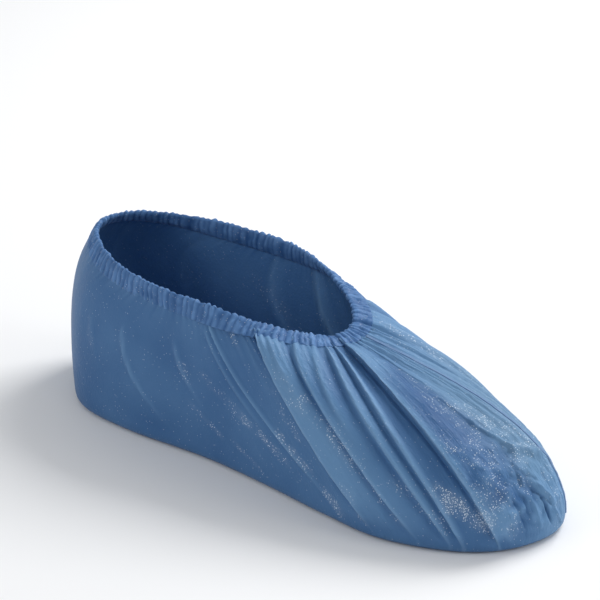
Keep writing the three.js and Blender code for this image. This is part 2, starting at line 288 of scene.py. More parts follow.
# %% [markdown]
# ## Crumples and gathers
# Small creases in film are irregular, but they aren't random: facets are flat and meet in sharp
# valleys. Blender's noise gives the same value at the same place each time, so it is bent into
# four patterns: soft waves, thin ridges, flat facets and the rounded gathers at the hem.

# %% Crumples and gathers
GATHER_PITCH = 3.5 * MM
WIDE_PITCH = 2.3                # wide gathers, as a number of narrow ones
NARROW_SHARE = 0.65
WANDER, WANDER_SIZE = 3.0, 17 * MM  # how unevenly the gathers are spaced, and over what run


def hashed(x, y, z, size, octaves=1):
    """Smooth noise from -1 to 1 at one place, with features of the given size."""
    total, part = 0.0, 1.0
    for _ in range(octaves):
        total += part * noise.noise(Vector((x / size, y / size, z / size)))
        size, part = size / 2, part / 2
    return total


def noises(points, size, shift, octaves=1):
    """Noise at many points; another shift gives another pattern."""
    return np.array([hashed(x + shift, y, z, size, octaves) for x, y, z in points.reshape(-1, 3)]
                    ).reshape(points.shape[:-1])


def lobes(run, pitch, wander):
    """Rounded gathers with sharp creases between them, from 0 to 1."""
    return np.abs(np.sin(np.pi * run / pitch + wander))


def gathers(run):
    """The small gathers that the elastic makes, from 0 to 1, some wide and some narrow."""
    wander = WANDER * noises(stack(run, 0, 0), WANDER_SIZE, 0.0, 2)
    narrow = lobes(run, GATHER_PITCH, wander)
    wide = lobes(run, WIDE_PITCH * GATHER_PITCH, 1.6 * wander + 1)
    return NARROW_SHARE * narrow + (1 - NARROW_SHARE) * wide


def creases(points, size, shift, octaves=2, sharp=2.4):
    """Thin ridges with wide flat parts between them, from 0 to 1."""
    return np.clip(1 - sharp * np.abs(noises(points, size, shift, octaves)), 0, 1)


def facets(points, size):
    """Crumpled film: flat facets that meet in sharp valleys, from 0 to 1."""
    found = [noise.voronoi(Vector(p) / size)[0] for p in points.reshape(-1, 3)]
    gap = np.array([d[1] - d[0] for d in found]).reshape(points.shape[:-1])
    return np.clip(gap * 1.6, 0, 1)


print("about", round(RIM_RUN[-1] / GATHER_PITCH), "narrow gathers round the hem")

# %% [markdown]
# ## Creases of the toe
# Over the toe the film is crushed, and its main creases are the ones that the eye remembers. Each
# is a short straight line in a table, so that it can be moved by hand, and stands as a small
# ridge or tuck that dies away on both sides.

# %% Toe creases
# two ends by station and share, half width, height in mm (a tuck is negative)
CREASES = [
    (0.33, 0.34, 0.28, 0.46, 0.08, 0.9), (0.28, 0.46, 0.02, 0.6, 0.08, 1.2),
    (0.02, 0.6, -0.65, 0.69, 0.1, 1.6), (-0.65, 0.69, -0.9, 0.78, 0.08, 1.2),
    (0.25, 0.79, -0.04, 0.88, 0.04, -1.8), (0.14, 0.84, 0.1, 0.94, 0.06, -3.0),
    (0.1, 0.78, -0.12, 0.86, 0.05, 1.2), (0.12, 0.63, 0.7, 0.74, 0.035, -1.2),
    (0.33, 0.68, 0.44, 0.76, 0.035, -1.2), (0.24, 0.67, 0.36, 0.74, 0.035, 0.9),
    (0.28, 0.7, 0.08, 0.75, 0.035, -1.1), (0.51, 0.81, 0.54, 0.88, 0.04, -1.1),
    (-0.1, 0.92, -0.3, 0.99, 0.04, 1.0), (0.72, 0.8, 0.66, 0.94, 0.04, -0.8),
    (0.38, 0.82, 0.36, 0.95, 0.05, 0.9), (-0.45, 0.8, -0.6, 0.93, 0.05, -1.0),
]
CREASE_SQUASH = 0.35            # share of the way down that looks as long as one station


def off_line(station, share, s0, h0, s1, h1, reach, squash):
    """Distance from a line between two places, as a share of its reach."""
    x, y = apart(station, s0), share - h0
    dx, dy = s1 - s0, h1 - h0
    t = np.clip((x * dx + y * dy) / (dx * dx + dy * dy), 0, 1)
    return np.hypot((x - t * dx) / reach, (y - t * dy) / (reach * squash))


print(len(CREASES), "creases in the toe")

# %% [markdown]
# ## Where the film glints
# The dimples of the film send back the lamps only where it faces them, so the sparkles lie in
# bands. A render finds a few of them alone, but not where they lie on the real cover. So they are
# painted glints: a second table of lines names the bands, and the material reads how thickly the
# painted glints lie.

# %% Sparkle table
# bands of painted glints: two ends by station and share, half width, strength
SPARKLES = [
    (5.05, 0.5, 4.29, 0.8, 0.13, 0.9), (3.63, 0.25, 3.61, 0.62, 0.1, 0.7),
    (4.0, 0.08, 3.95, 0.25, 0.1, 0.6), (3.95, 0.68, 3.62, 0.95, 0.12, 1.0),
    (3.0, 0.42, 2.75, 0.5, 0.18, 0.6), (1.7, 0.78, 1.3, 0.88, 0.18, 2.0),
    (0.16, 0.34, -0.01, 0.41, 0.18, 1.1), (-0.1, 0.47, -0.4, 0.66, 0.22, 1.2),
    (3.05, 0.8, 3.15, 0.94, 0.1, 0.6), (0.29, 0.2, 0.69, 0.34, 0.14, 0.6),
    (-1.51, 0.07, -1.16, 0.15, 0.12, 0.9), (5.6, 0.72, 5.4, 0.84, 0.07, 0.7),
    (5.15, 0.86, 4.95, 0.94, 0.07, 0.7), (5.5, 0.47, 5.45, 0.55, 0.12, 0.5),
    (2.7, 0.55, 2.55, 0.9, 0.1, 0.5), (0.95, 0.6, 0.95, 0.84, 0.3, 0.75),
    (-0.8, 0.55, -0.4, 0.85, 0.35, 0.7), (-0.7, 0.2, -0.9, 0.6, 0.12, 0.6),
    (-2.2, 0.08, -2.1, 0.35, 0.2, 0.5), (-3.4, 0.2, -3.2, 0.7, 0.3, 0.35),
    (-6.0, 0.3, -5.4, 0.8, 0.3, 0.3), (7.6, 0.3, 7.3, 0.6, 0.15, 0.3),
    (0.3, 0.33, 0.6, 0.42, 0.14, 0.9), (-0.2, 0.52, -0.55, 0.6, 0.12, 1.0),
    (0.06, 0.63, 0.3, 0.72, 0.2, 0.6), (0.45, 0.5, 0.7, 0.6, 0.25, 0.6),
    (-1.9, 0.1, -1.75, 0.3, 0.16, 0.8), (-1.9, 0.4, -1.6, 0.6, 0.14, 0.8),
    (2.95, 0.3, 2.7, 0.62, 0.2, 0.7), (2.2, 0.75, 2.0, 0.9, 0.14, 0.5),
]
SPARKLE_SQUASH = 0.4
FEWEST_SPARKLES = 0.05          # strength away from every band


def painted_glints(station, share):
    """How thickly painted glints lie at a place."""
    most = np.full_like(station, FEWEST_SPARKLES)
    for *ends, reach, strength in SPARKLES:
        far = off_line(station, share, *ends, reach, SPARKLE_SQUASH)
        most = np.maximum(most, strength * smooth(1.6, 0.3, far))
    return most


print(len(SPARKLES), "bands of sparkles")

# %% [markdown]
# ## Zones
# The same film behaves differently from place to place: it is drawn tight at the heel, loose over
# the front, crushed at the toe and finely lined over the instep. Each zone is a number from 0 to
# 1 that fades at its border, so that no border shows.

# %% Zones
TOE_MIDDLE, INSTEP_MIDDLE = 0.1, 18.75      # stations
# where each zone begins and where it is full: stations, or shares of the way down
FRONT_BORDER = (5.5, 3.0)
TOE_BORDER, TOE_DOWN = (1.5, 0.7), (0.45, 0.68)
INSTEP_BORDER, INSTEP_DOWN = (1.3, 0.4), (0.85, 0.4)
PANEL_BORDER, PANEL_TOEWARD = (1.3, 1.0), (-2.5, -1.0)
SHORT_REACH, LONG_REACH = 0.07, 0.3         # shares in which short and long gathers die away
LONG_SHARE = 0.35               # share of the gathers that are long, over the front


def zones(station, share):
    """How much a place belongs to front, gathers, toe, instep and the panel beside the toe."""
    from_toe = np.abs(apart(station, TOE_MIDDLE))
    from_instep = np.abs(apart(station, INSTEP_MIDDLE))
    beside = apart(station, 0)
    front = smooth(*FRONT_BORDER, from_toe)
    below_hem = np.maximum(share, 0)
    near_hem = ((1 - LONG_SHARE * front) * np.exp(-below_hem / SHORT_REACH)
                + LONG_SHARE * front * np.exp(-below_hem / LONG_REACH))
    toe = smooth(*TOE_BORDER, from_toe) * smooth(*TOE_DOWN, share)
    instep = smooth(*INSTEP_BORDER, from_instep) * smooth(*INSTEP_DOWN, share)
    panel = smooth(*PANEL_BORDER, beside) * smooth(*PANEL_TOEWARD, beside)
    return front, near_hem, toe, instep, panel


loose = zones(ring, np.zeros_like(ring))[0]
print("the front takes up", round(100 * loose.mean()), "% of the way round")

# %% [markdown]
# ## Streaks and crumples
# Streaks run down from the hem, so their pattern is drawn out along the way down and follows the
# stations. Crumples lie any way, so theirs follows the place in the room. It is bent by more
# noise, because creases of even size look printed.

# %% Streaks and crumples
ROUND_STRETCH, WAVE_STRETCH, LINE_STRETCH = 0.1, 0.02, 0.012    # for a station, and the way down
WAVE_SIZE, LINE_SIZE = 0.028, 0.02
WARP_SIZE, CREASE_SIZE, PUCKER_SIZE = 18 * MM, 20 * MM, 4.5 * MM
LARGE_FACET, SMALL_FACET = 15 * MM, 7 * MM
FACET_WARP, PUCKER_WARP = 5, 2  # mm that the pattern is bent


def streaks(station, share):
    """Waves and thin lines drawn out down the film."""
    across = station * ROUND_STRETCH
    waves = noises(stack(across, share * WAVE_STRETCH, 3), WAVE_SIZE, 7.0, 2)
    lines = creases(stack(across, share * LINE_STRETCH, 5), LINE_SIZE, 11.0, 2, 2.6) - 0.3
    return waves, lines


def crumples(spot):
    """Facets of crushed film, long creases and small puckers, each about 0 in the middle."""
    warp = stack(*(noises(spot, WARP_SIZE, shift) for shift in (2.0, 22.0, 42.0)))
    bent = spot + warp * FACET_WARP * MM
    large, small = facets(bent + 0.05, LARGE_FACET), facets(bent, SMALL_FACET)
    crumple = 0.5 - large + 0.5 * (small - 0.5)
    crease = 0.6 * creases(bent, CREASE_SIZE, 5.0, 3, 3.0) - 0.2
    pucker = facets(spot + warp * PUCKER_WARP * MM, PUCKER_SIZE) - 0.5
    return crumple, crease, pucker


print("facets of", round(LARGE_FACET / MM), "and", round(SMALL_FACET / MM), "mm")

# %% [markdown]
# ## Relief
# All that stands off the smooth bag comes together here: folds, gathers, soft waves, streaks and
# crumples, each with its height in millimetres, as on the real film. It dies away just above the
# edge of the sole, which lies smooth on the floor.

# %% Relief
GATHER_HEIGHT, GATHER_MIDDLE = 1.1 * MM, 0.6
SOFT_SIZE, SOFT_HEIGHTS = 34 * MM, (0.2, 0.5)   # heights everywhere, and added over the front
STREAK_HEIGHTS, STREAK_START = (0.05, 0.35), (0.0, 0.1)
CRUSHED, DENTED = (1.3, 1.1, 0.45), (0.35, 0.6, 0.3)    # crumples, creases and puckers
FOLDS_END, CALM_END = (1.0, 0.93), (1.0, 0.92)


def raised(heights, patterns):
    return sum(height * pattern for height, pattern in zip(heights, patterns))


def relief(station, share):
    """Everything that stands off the smooth bag, the lean, and how crumpled it is."""
    spot = place(station, share)
    tuft = gathers(rim_run(station)) - GATHER_MIDDLE
    tall, lean, _ = folds(station, share)
    front, near_hem, toe, instep, panel = zones(station, share)
    waves, lines = streaks(station, share)
    crumpled = crumples(spot)
    soft = raised(SOFT_HEIGHTS, (1, front)) * noises(spot, SOFT_SIZE, 9.0)
    drawn = raised(STREAK_HEIGHTS, (1, front)) * waves * smooth(*STREAK_START, share)
    crushed = raised(CRUSHED, crumpled) * toe
    dented = raised(DENTED, crumpled) * panel * (1 - toe)
    height = tall * smooth(*FOLDS_END, share) + GATHER_HEIGHT * tuft * near_hem
    calm = smooth(*CALM_END, share)
    height += calm * MM * (soft + drawn + lines * instep + crushed + dented)
    for *ends, reach, tall in CREASES:
        near = 1 - off_line(station, share, *ends, reach, CREASE_SQUASH)
        height += tall * MM * np.clip(near, 0, 1)
    return height, lean * FOLD_LEAN, crumpled[0] * toe + lines * instep + tuft * near_hem


print("gathers stand", round(GATHER_HEIGHT / MM, 1), "mm high right below the hem")

# %% [markdown]
# ## Working with a sheet
# Film bag, hem and welds are each one grid of faces that is bent into place, so they share these
# helpers. Numbers kept at the corners, called attributes, tell the material how high or how loose
# the film is there, and where painted shade, light, sheen and glints go into its colour.

# %% Sheet helpers
MERGE_DISTANCE = 1e-6


def new_sheet(columns, rows):
    """A flat grid of faces, and how far each corner lies across it and down it, from 0 to 1."""
    bm = bmesh.new()
    bmesh.ops.create_grid(bm, x_segments=columns, y_segments=rows, size=1)
    grid = np.array([v.co[:2] for v in bm.verts])
    return bm, (grid[:, 0] + 1) / 2, (1 - grid[:, 1]) / 2


def bend(bm, spots):
    """Moves every corner of the sheet to its place."""
    for v, spot in zip(bm.verts, spots):
        v.co = spot


def mark(bm, **marks):
    """Writes numbers to the corners, as attributes that a material reads."""
    for name, values in marks.items():
        layers = bm.verts.layers.float if values.ndim == 1 else bm.verts.layers.float_vector
        layer = layers.new(name)
        for v, value in zip(bm.verts, values.tolist()):
            v[layer] = value


def face_outward(bm, sample, outward):
    """Makes the faces agree, then turns them all round where the sample looks inward."""
    bmesh.ops.recalc_face_normals(bm, faces=bm.faces)
    bm.normal_update()
    if sum(f.normal.dot(Vector(outward)) for f in sample) < 0:
        bmesh.ops.reverse_faces(bm, faces=bm.faces)


def finished(name, bm, wall):
    """Makes the object, smooth-shaded, and gives the sheet a wall inwards."""
    for f in bm.faces:
        f.smooth = True
    mesh = bpy.data.meshes.new(name)
    bm.to_mesh(mesh)
    bm.free()
    piece = bpy.data.objects.new(name, mesh)
    bpy.context.collection.objects.link(piece)
    solid = piece.modifiers.new("wall", "SOLIDIFY")
    solid.thickness, solid.offset, solid.use_even_offset = wall, -1, False
    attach(piece, "root")
    print(name, len(mesh.polygons), "faces")
    return piece


print("corners nearer than", MERGE_DISTANCE / MM, "mm are merged")

# %% [markdown]
# ## The sides of the film bag
# The bag is one grid of faces, wrapped into a ring: its columns run along the folds and its rows
# go down the sides, round the sole's edge and in under it. The columns stand closer together over
# the folded front, where the small creases need them.

# %% Film sides
FILM_COLUMNS = 520
SIDE_ROWS = 82
FIRST_SHARE = -0.03             # the film goes up a little way inside the hem
CROWDING, CROWD_MIDDLE, CROWD_BORDER = 1.6, 1.2, (5.5, 2.0)
EDGE_TURNS = (0.25, 0.5, 0.75, 1.0)
SOLE_INSETS = (3 * MM, 7 * MM, 11 * MM)
WELDED = 0.35                   # share of the relief that is left on a weld
WELD_BORDER = (0.1, 0.25)       # stations


def film_surface(station, share):
    """Outer face of the finished film, and how high it stands."""
    out, round_it = facing(station, share)
    height, lean, fret = relief(station, share)
    from_weld = np.minimum(np.abs(apart(station, TOE_SEAM)), np.abs(apart(station, HEEL_SEAM)))
    calm = smooth(*WELD_BORDER, from_weld)
    height = height * (WELDED + (1 - WELDED) * calm)
    spot = place(station, share) + out * height[..., None] + round_it * (lean * calm)[..., None]
    return spot, height, fret


def column_stations(count):
    """Stations of the mesh's columns, closer together over the folded front."""
    crowd = np.cumsum(1 + CROWDING * smooth(*CROWD_BORDER, np.abs(apart(ring, CROWD_MIDDLE))))
    crowd = (crowd - crowd[0]) / (crowd[-1] - crowd[0])
    return np.interp(np.arange(count) / count, crowd, ring)


film_rows = SIDE_ROWS + len(EDGE_TURNS) + len(SOLE_INSETS)
film_sheet, across, down = new_sheet(FILM_COLUMNS, film_rows)
column = np.rint(across * FILM_COLUMNS).astype(int) % FILM_COLUMNS
row = np.rint(down * film_rows).astype(int)
station = column_stations(FILM_COLUMNS)[column]
share = np.minimum(FIRST_SHARE + (1 - FIRST_SHARE) * row / SIDE_ROWS, 1.0)
spot, height, fret = film_surface(station, share)
print("film corners", len(spot), "highest fold", round(height.max() / MM, 1), "mm")

# %% [markdown]
# ## The sole of the film bag
# The film lies flat under the sole. A few rows turn it round the edge in an arc, and three more
# run in under it. One large face will close the middle, since nothing shows there.

# %% Film sole
out = edge_out(station)
middle = edge_point(station) - out * SOLE_ROUND
arc = [turn * math.pi / 2 for turn in EDGE_TURNS]
under = [(SOLE_ROUND * math.cos(a), SOLE_ROUND - SOLE_ROUND * math.sin(a)) for a in arc]
under += [(-inset, 0) for inset in SOLE_INSETS]
for i, (reach, rise) in enumerate(under):
    here = row == SIDE_ROWS + 1 + i
    line = middle + out * reach
    line[:, 2] = rise
    spot[here] = line[here]
bend(film_sheet, spot)
print(len(under), "rows round the edge and under the sole")

# %% [markdown]
# ## Painted shade and light on the film
# Film that stands free is paler than film drawn tight over something, and the top of a fold is
# paler still. That could be left to the light, but thin film passes light in ways a plain shader
# doesn't follow. So the tone is painted: darker where the film lies low, partly the look of taut
# film and partly painted shade in the valleys, and paler on fold tops as painted light. Painted
# highlights run along the crests, painted shade lies on the panel beside the toe, and painted
# light and a greyer painted sheen lie over the instep. The height, the crests and the greyer
# instep are kept as attributes.

# %% Film marks
RING_TURN = 6.28                # radians round the ring that the streaks of the film follow
CREST_HIGHLIGHT, INSTEP_PAINTED_LIGHT = 0.5, 0.9
DARKEST, PANEL_SHADE = -0.03, 0.1
LOOSE_MIDDLE = 19.6             # station
SHADE_BORDER, SHADE_TOEWARD, SHADE_DOWN, SHADE_END = (1.35, 1.1), (0, 0.5), (0.08, 0.3), (0.9, 0.7)
GREYNESS, GREY_MIDDLE, GREY_BORDER = 0.6, 18.9, (2.0, 0.8)
GREY_DOWN, GREY_END = (0.02, 0.45), (0.9, 0.65)

turn = station * 2 * math.pi / COUNT
flow = stack(np.cos(turn) * COUNT / RING_TURN, np.sin(turn) * COUNT / RING_TURN, share)
beside = apart(station, 0)
# Painted shade: the panel beside the toe is darkened
panel = smooth(*SHADE_BORDER, beside) * smooth(*SHADE_TOEWARD, beside) * smooth(*SHADE_DOWN, share)
instep = smooth(*GREY_BORDER, np.abs(apart(station, GREY_MIDDLE)))
# Painted highlight: a pale line along the crest of each fold
crest = folds(station, share)[2]
# Painted shade in the valleys and painted light on fold tops, partly the look of taut film
tone = height / FOLD_HEIGHT + CREST_HIGHLIGHT * crest - panel * smooth(*SHADE_END, share)
# Painted light: the instep's tone is raised
tone = np.maximum(tone + INSTEP_PAINTED_LIGHT * instep, DARKEST - PANEL_SHADE * panel)
# Painted sheen: a greyer, paler tone over the top of the instep
painted_sheen = GREYNESS * instep * smooth(*GREY_DOWN, share) * smooth(*GREY_END, share)
slack = smooth(*FRONT_BORDER, np.abs(apart(station, LOOSE_MIDDLE)))
mark(film_sheet, ridge=tone, crinkle=fret, shine=painted_glints(station, share), flow=flow, loose=slack,
     haze=painted_sheen, edge=np.minimum(crest, 1))
print("tone from", round(tone.min(), 2), "to", round(tone.max(), 2))

# %% [markdown]
# ## The film bag as a piece
# The grid's two sides meet, so their corners are merged and the bag is one ring. The last ring
# under the sole is filled, the faces are turned outwards, and a Solidify modifier gives the film
# its thickness.

# %% Film bag
FILM = 0.15 * MM
bmesh.ops.remove_doubles(film_sheet, verts=film_sheet.verts, dist=MERGE_DISTANCE)
inner = [e for e in film_sheet.edges if e.is_boundary and e.verts[0].co.z < 1 * MM]
bmesh.ops.holes_fill(film_sheet, edges=inner, sides=0)
sole = min(film_sheet.faces, key=lambda f: f.calc_center_median().z - f.calc_area())
face_outward(film_sheet, [sole], (0, 0, -1))
print("sole face", round(sole.calc_area() * 1e4), "cm2, looks down:", sole.normal.z < 0)

film = finished("film_bag", film_sheet, FILM)
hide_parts("film_shell")

# %% [markdown]
# ## The section of the hem
# The film's edge is folded over the elastic and shrinks with it, so the hem stands in small
# rounded tufts with sharp creases between them, and its upper edge is scalloped. It is a second
# grid: its rows go up the outside, over the top and down the inside. This table is its section.

# %% Hem section
# way down from the cut edge, way out from the film, how much a tuft pushes out and up
HEM_SECTION = [
    (6.3, 0.1, 0.0, 0), (5.2, 0.2, 0.2, 0), (3.6, 0.3, 0.3, 0), (1.8, 0.4, 0.3, 0),
    (0, 0.5, 0.3, 0), (-1.4, 0.45, 0.3, 0.3), (-2.5, 0.2, 0.2, 0.8), (-2.9, -0.2, 0, 1.3),
    (-3.0, -0.75, 0, 1.5), (-2.9, -1.3, -0.2, 1.3), (-2.5, -1.95, -0.4, 0.8),
    (-1.4, -2.2, -0.6, 0.3), (0.2, -2.3, -0.6, 0), (2.6, -2.15, -0.6, 0), (5.0, -1.3, -0.4, 0),
    (6.3, -0.6, 0.0, 0),
]
ROWS_PER_STEP = 3


def hem_rows():
    """The table with more rows between its own."""
    table = np.array(HEM_SECTION) * MM
    at = np.linspace(0, len(table) - 1, ROWS_PER_STEP * (len(table) - 1) + 1)
    return np.stack([np.interp(at, range(len(table)), table[:, k]) for k in range(4)], -1)


section = hem_rows()
print("hem section", len(section), "rows,", round(np.ptp(section[:, 0]) / MM, 1), "mm deep")

# %% [markdown]
# ## The way round the hem
# Each column of the hem stands at its run along the cut edge. It needs three directions there:
# down the film, round the opening, and out. The film doesn't hang square to the edge, so the
# slant between them is taken out of the way down, and kept to find the gather that is met below.

# %% Hem columns
HEM_COLUMNS = 1000
hem_sheet, across, down = new_sheet(HEM_COLUMNS, len(section) - 1)
column = np.rint(across * HEM_COLUMNS).astype(int) % HEM_COLUMNS
row = np.rint(down * (len(section) - 1)).astype(int)
run = column * RIM_RUN[-1] / HEM_COLUMNS
station = np.interp(run, RIM_RUN, ring)
top = rim_point(station)
down = unit(place(station, 0) - top)
round_it = unit(rim_point(station + 0.03) - rim_point(station - 0.03))
out = unit(np.cross(round_it, down))
slant = np.sum(down * round_it, axis=1)
down = unit(down - round_it * slant[:, None])
met = run - HEM_DEPTH * slant
print("hem columns stand", round(RIM_RUN[-1] / HEM_COLUMNS / MM, 2), "mm apart")

# %% [markdown]
# ## The tufts of the hem
# The tufts use the same gathers as the film, so each small gather below runs up into a tuft.
# Their size wanders, fine crinkles lie on them, and they twist a little. The outside of the hem
# follows the relief of the film that it covers, so that no gap opens between the two.

# %% Hem tufts
LEAST_TUFT, MOST_TUFT = 0.2, 2.0
TUFT_WANDER, TUFT_RUN = 0.9, 6 * MM     # how much the tufts differ, and over what run
FINE_CRINKLE, FINE_SIZE = 0.5 * MM, 1.7 * MM
INNER_CRINKLE = 0.4             # share of it on the inside
DEEPEST, TALLEST = -0.15 * MM, 2 * MM   # how far the hem follows the film in and out

way, off, push, lift = section[row].T
tuft = gathers(met % RIM_RUN[-1])
size = 1 + TUFT_WANDER * noises(stack(run, 0, way), TUFT_RUN, 3.0, 2)
size = np.clip(size, LEAST_TUFT, MOST_TUFT)
fine = FINE_CRINKLE * noises(stack(run, way * 0.4, 0), FINE_SIZE, 4.0, 2)
fine = fine * np.where(off > -0.2 * MM, 1, INNER_CRINKLE)
twist = noises(stack(run, way, row * 1e-4), TUFT_RUN, 5.0, 2)

ring_run = np.arange(HEM_COLUMNS) * RIM_RUN[-1] / HEM_COLUMNS
film_below = relief(np.interp(ring_run, RIM_RUN, ring), np.zeros(HEM_COLUMNS))[:2]
below, below_lean = (np.interp(met, ring_run, x, period=RIM_RUN[-1]) for x in film_below)
outside = smooth(-1.0 * MM, 0.2 * MM, off + 0.4 * MM)
follow = outside * (0.55 + 0.45 * smooth(-2 * MM, 5 * MM, way))
off = off + push * (tuft * size - 0.5) + fine * (push != 0)
off = off + np.clip(below, DEEPEST, TALLEST) * follow
way = way - 0.8 * lift * np.maximum(tuft * size, 0.05)
aside = MM * twist * (np.abs(push) > 0.1 * MM) * smooth(5 * MM, 0, way) + below_lean * follow
spot = top + down * way[:, None] + out * off[:, None] + round_it * aside[:, None]
print("hem reaches", round(spot[:, 2].max() / MM, 1), "mm above the floor")

# %% [markdown]
# ## The hem as a piece
# The hem's attributes are set like the bag's: a tuft is paler than the crease beside it, painted
# light on the tufts and painted shade in the creases, and few painted sparkles show. Its open
# lower edges lie against the film, one outside it and one inside.

# %% Hem
HEM_WALL = 0.25 * MM
HEM_SHINE = 0.12
HEM_FLOW = (50, 12)             # how far the streaks stretch round the hem and down it
bend(hem_sheet, spot)
# Painted light on the tufts, painted shade in the creases between them, few painted glints
mark(hem_sheet, ridge=0.8 * tuft * size - 0.3, shine=np.full(len(run), HEM_SHINE),
     flow=stack(run * HEM_FLOW[0], way * HEM_FLOW[1], 0))
bmesh.ops.remove_doubles(hem_sheet, verts=hem_sheet.verts, dist=MERGE_DISTANCE)
crown = max(hem_sheet.faces, key=lambda f: f.calc_center_median().z)
face_outward(hem_sheet, [crown], (0, 0, 1))

hem_piece = finished("gathered_hem", hem_sheet, HEM_WALL)
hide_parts("hem_casing")

# %% [markdown]
# ## The welds
# Toe and heel are closed by a hot bar that melts both layers of film into a thin raised line. A
# narrow grid is laid along the film's own surface and raised in the middle, so it follows every
# crumple that it crosses.

# %% Weld shape
WELD_WIDTH, WELD_HEIGHT = 1.7 * MM, 0.55 * MM
WELD_ROWS = 260
WELD_ACROSS = np.array([-1, -0.86, -0.5, -0.3, 0, 0.3, 0.5, 0.86, 1])
WELD_RISE = np.array([-0.2, 0.8, 1, 0.55, 0.5, 0.55, 1, 0.8, -0.2])
WELD_START, WELD_LENGTH = 0.004, 0.985      # shares of the way down
RIPPLE, RIPPLES = 0.12, 900     # how much the bar's print rises and falls, and how often


def weld(station):
    bm, across, down = new_sheet(len(WELD_ACROSS) - 1, WELD_ROWS)
    column = np.rint(across * (len(WELD_ACROSS) - 1)).astype(int)
    share = WELD_START + down * WELD_LENGTH
    here = np.full(len(share), float(station))
    out = facing(here, share)[0]
    centre, ahead, behind = (film_surface(here + step, share)[0] for step in (0, NEAR, -NEAR))
    along = unit(ahead - behind)
    ripple = 1 + RIPPLE * np.sin(share * RIPPLES)
    spot = centre + along * (WELD_ACROSS[column] * WELD_WIDTH / 2)[:, None]
    spot += out * (WELD_RISE[column] * WELD_HEIGHT * ripple)[:, None]
    bend(bm, spot)
    face_outward(bm, bm.faces, out[len(out) // 2])
    return bm


print("a weld is", round(WELD_WIDTH / MM, 1), "mm wide and", round(WELD_HEIGHT / MM, 2), "mm high")

# %% [markdown]
# ## Both welds
# Each weld is a piece of its own. Bag, hem and welds are one sheet of film on the real cover.

# %% Welds
WELD_WALL = 0.12 * MM
WELDS = [("toe_weld_line", "toe_weld", TOE_SEAM), ("heel_weld_line", "heel_weld", HEEL_SEAM)]
weld_pieces = []
for name, node, seam in WELDS:
    piece = finished(name, weld(seam), WELD_WALL)
    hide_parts(node)
    weld_pieces.append(piece)

# %% [markdown]
# ## Building a finish
# A material is a tree of nodes. These helpers add one node at a time, with its inputs set or
# linked, so that a finish below reads like a recipe.

# %% Finish helpers


def add(tree, kind, inputs=None, **settings):
    """One shader node, with its inputs set or linked."""
    node = tree.nodes.new(kind)
    for name, value in settings.items():
        setattr(node, name, value)
    for socket, value in (inputs or {}).items():
        if isinstance(value, bpy.types.NodeSocket):
            tree.links.new(value, node.inputs[socket])
        else:
            node.inputs[socket].default_value = value
    return node


def new_finish(name):
    finish = bpy.data.materials.new(name)
    finish.use_nodes = True
    finish.node_tree.nodes.clear()
    return finish, finish.node_tree


def attribute(tree, name):
    return add(tree, "ShaderNodeAttribute", attribute_name=name).outputs["Fac"]


def span(tree, value, low, high, to_low=0.0, to_high=1.0):
    """Maps a value from one span to another, held at both ends."""
    return add(tree, "ShaderNodeMapRange", {
        "Value": value, "From Min": low, "From Max": high,
        "To Min": to_low, "To Max": to_high}).outputs["Result"]


def sums(tree, operation, a, b):
    return add(tree, "ShaderNodeMath", {0: a, 1: b}, operation=operation).outputs[0]


def times(tree, a, b):
    return sums(tree, "MULTIPLY", a, b)


print("finish helpers are ready")

# %% [markdown]
# ## Colours and patterns
# Colours are given as the screen shows them, from 0 to 255, and turned into the linear numbers
# that a shader adds and mixes. Noise gives clouds and streaks, and a bump node bends the light
# as small relief would, without any faces.

# %% Colour and pattern helpers


def srgb(red, green, blue):
    return tuple(((c / 255 + 0.055) / 1.055) ** 2.4 for c in (red, green, blue))


def blend_colour(tree, share, first, second):
    """The first colour at share 0, the second at 1."""
    mix = add(tree, "ShaderNodeMix", {"Factor": share}, data_type="RGBA")
    for socket, value in ((mix.inputs[6], first), (mix.inputs[7], second)):
        if isinstance(value, bpy.types.NodeSocket):
            tree.links.new(value, socket)
        else:
            socket.default_value = (*value, 1)
    return mix.outputs[2]


def clouds(tree, where, scale, detail, **more):
    inputs = {"Vector": where, "Scale": scale, "Detail": detail, **more}
    return add(tree, "ShaderNodeTexNoise", inputs).outputs["Fac"]


def bump(tree, height, strength, distance, **more):
    inputs = {"Height": height, "Strength": strength, "Distance": distance, **more}
    return add(tree, "ShaderNodeBump", inputs).outputs["Normal"]


print("mid grey is", round(srgb(128, 128, 128)[0], 3), "in linear light")

# %% [markdown]
# ## The blue of the film
# The film is a soft blue plastic, a little milky. Taut film is darker and ridges are lighter,
# partly because more light comes through film that stands free and partly as painted shade in the
# valleys and painted light on the ridges. Over the instep it is greyer, a painted sheen, and along
# the crest of a fold it is palest, a painted highlight.

# %% Film colour
SHEEN_GREY, CREST_HIGHLIGHT_COLOUR = srgb(104, 140, 170), srgb(132, 168, 206)


def film_colour(tree, cloud, taut_and_shaded, free):
    ridge, crinkle = attribute(tree, "ridge"), attribute(tree, "crinkle")
    # Random clouds of tone, with painted light on raised crumples and painted shade in their
    # creases
    uneven = sums(tree, "ADD", span(tree, cloud, 0.3, 0.7, -0.12, 0.15),
                  span(tree, crinkle, -0.4, 0.8, -0.1, 0.3))
    # Painted shade and light: the taut colour in low film, the free colour on fold tops
    free_and_lit = sums(tree, "ADD", span(tree, ridge, -0.3, 0.75), uneven)
    colour = blend_colour(tree, free_and_lit, taut_and_shaded, free)
    # Painted sheen: the top of the instep is mixed towards a pale grey
    colour = blend_colour(tree, attribute(tree, "haze"), colour, SHEEN_GREY)
    # Painted highlight: the crests are mixed towards a pale blue
    crest = span(tree, attribute(tree, "edge"), 0.05, 0.8, 0, 0.5)
    return blend_colour(tree, crest, colour, CREST_HIGHLIGHT_COLOUR)


